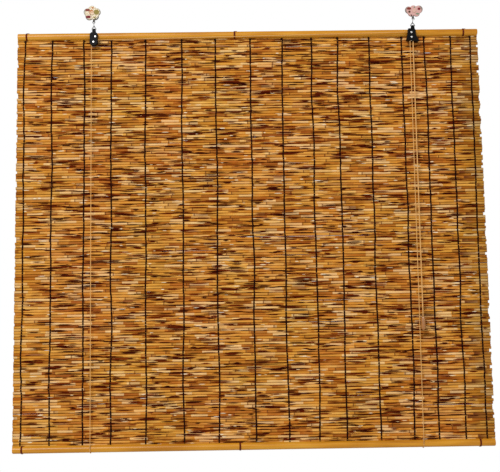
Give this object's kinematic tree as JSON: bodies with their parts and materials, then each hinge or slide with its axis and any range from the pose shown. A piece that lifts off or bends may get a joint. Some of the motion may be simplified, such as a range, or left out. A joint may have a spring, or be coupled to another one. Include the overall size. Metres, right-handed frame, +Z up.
{
  "type": "bamboo roll-up blind",
  "caption": "Reed roll-up blind with a split bamboo head rail, hung by pulley blocks and wire rings from stick-on ornamental wall hooks, raised by pull cords with a cord lock.",
  "frame": {"origin": "wall plane, midway across the blind, at the height of the left wall hook plate's centre", "axes": "+X to the right along the rail, -Y from the wall into the room, +Z up"},
  "size_m": [1.003, 0.0363, 0.9644],
  "materials": {
    "ivory_plate": "gloss",
    "pink_plate": "gloss",
    "adhesive_foam": "matt",
    "steel_wire": "satin",
    "block_plastic": "satin",
    "fixing_steel": "polished",
    "bamboo_lath": "varnished",
    "reed": "satin",
    "warp_cotton": "matt",
    "lashing_cord": "matt",
    "pull_cord": "matt",
    "sheave_plastic": "satin",
    "knob_wood": "varnished"
  },
  "bodies": {
    "wall_hooks": {"left_wall_hook_plate": "ivory_plate", "left_adhesive_pad": "adhesive_foam", "left_wall_hook_wire": "steel_wire", "right_wall_hook_plate": "pink_plate", "right_adhesive_pad": "adhesive_foam", "right_wall_hook_wire": "steel_wire"},
    "hanger_links": {"left_hanger_link": "steel_wire", "left_hanger_ring": "steel_wire", "right_hanger_link": "steel_wire", "right_hanger_ring": "steel_wire"},
    "head": {"head_rail_front": "bamboo_lath", "head_rail_back": "bamboo_lath", "head_lashing_left": "lashing_cord", "head_lashing_middle": "lashing_cord", "head_lashing_right": "lashing_cord", "reed_mat": "reed", "warp_cord_01": "warp_cotton", "warp_cord_02": "warp_cotton", "warp_cord_03": "warp_cotton", "warp_cord_04": "warp_cotton", "warp_cord_05": "warp_cotton", "warp_cord_06": "warp_cotton", "warp_cord_07": "warp_cotton", "warp_cord_08": "warp_cotton", "warp_cord_09": "warp_cotton", "warp_cord_10": "warp_cotton", "warp_cord_11": "warp_cotton", "warp_cord_12": "warp_cotton", "warp_cord_13": "warp_cotton", "warp_cord_14": "warp_cotton", "warp_cord_15": "warp_cotton", "warp_cord_16": "warp_cotton", "left_block_plate": "block_plastic", "left_block_cover": "block_plastic", "left_block_screw": "fixing_steel", "left_screw_nut": "fixing_steel", "left_sheave_rivet": "fixing_steel", "right_block_plate": "block_plastic", "right_block_cover": "block_plastic", "right_axle_bolt": "fixing_steel", "right_bolt_nut": "fixing_steel", "lock_cam_rivet": "fixing_steel", "left_lift_cord": "pull_cord", "right_lift_cord": "pull_cord", "crossing_cord": "pull_cord", "turning_cord": "pull_cord", "pull_cord_inner": "pull_cord", "pull_cord_outer": "pull_cord"},
    "bottom_rail": {"bottom_rail_front": "bamboo_lath", "bottom_rail_back": "bamboo_lath", "bottom_lashing_left": "lashing_cord", "bottom_lashing_middle": "lashing_cord", "bottom_lashing_right": "lashing_cord"},
    "pull_knob": {"pull_knob": "knob_wood"},
    "left_sheave": {"left_sheave": "sheave_plastic"},
    "right_sheave_inner": {"right_sheave_inner": "sheave_plastic"},
    "right_sheave_outer": {"right_sheave_outer": "sheave_plastic"},
    "lock_cam": {"lock_cam": "sheave_plastic"}
  },
  "joints": [
    {"name": "hook_swing", "type": "hinge", "parent": "wall_hooks", "child": "hanger_links", "pos_m": [0, -0.02365, -0.02208], "axis": [1, 0, 0], "range_deg": [-30, 0]},
    {"name": "rail_tilt", "type": "hinge", "parent": "hanger_links", "child": "head", "pos_m": [0, -0.02365, -0.0439], "axis": [1, 0, 0], "range_deg": [-15, 0]},
    {"name": "blind_raise", "type": "slide", "parent": "head", "child": "bottom_rail", "axis": [0, 0, 1], "range_m": [0, 0.8], "deforming": ["reed_mat", "warp_cord_01", "warp_cord_02", "warp_cord_03", "warp_cord_04", "warp_cord_05", "warp_cord_06", "warp_cord_07", "warp_cord_08", "warp_cord_09", "warp_cord_10", "warp_cord_11", "warp_cord_12", "warp_cord_13", "warp_cord_14", "warp_cord_15", "warp_cord_16", "left_lift_cord", "right_lift_cord"]},
    {"name": "cord_pull", "type": "slide", "parent": "head", "child": "pull_knob", "axis": [0, 0, -1], "range_m": [0, 1.6], "deforming": ["pull_cord_inner", "pull_cord_outer"]},
    {"name": "left_sheave_spin", "type": "hinge", "parent": "head", "child": "left_sheave", "pos_m": [-0.3345, -0.02695, -0.0737], "axis": [0, 1, 0], "continuous": true},
    {"name": "inner_sheave_spin", "type": "hinge", "parent": "head", "child": "right_sheave_inner", "pos_m": [0.3538, -0.02695, -0.0619], "axis": [0, 1, 0], "continuous": true},
    {"name": "outer_sheave_spin", "type": "hinge", "parent": "head", "child": "right_sheave_outer", "pos_m": [0.3538, -0.03125, -0.0619], "axis": [0, 1, 0], "continuous": true},
    {"name": "cord_lock", "type": "hinge", "parent": "head", "child": "lock_cam", "pos_m": [0.3538, -0.0291, -0.0723], "axis": [0, 1, 0], "range_deg": [-10, 0]}
  ],
  "couplings": [
    {"joint": "cord_pull", "follows": "blind_raise", "ratio": 2},
    {"joint": "left_sheave_spin", "follows": "blind_raise", "rad_per_m": 416.67},
    {"joint": "inner_sheave_spin", "follows": "blind_raise", "rad_per_m": 588.24},
    {"joint": "outer_sheave_spin", "follows": "blind_raise", "rad_per_m": 588.24}
  ]
}
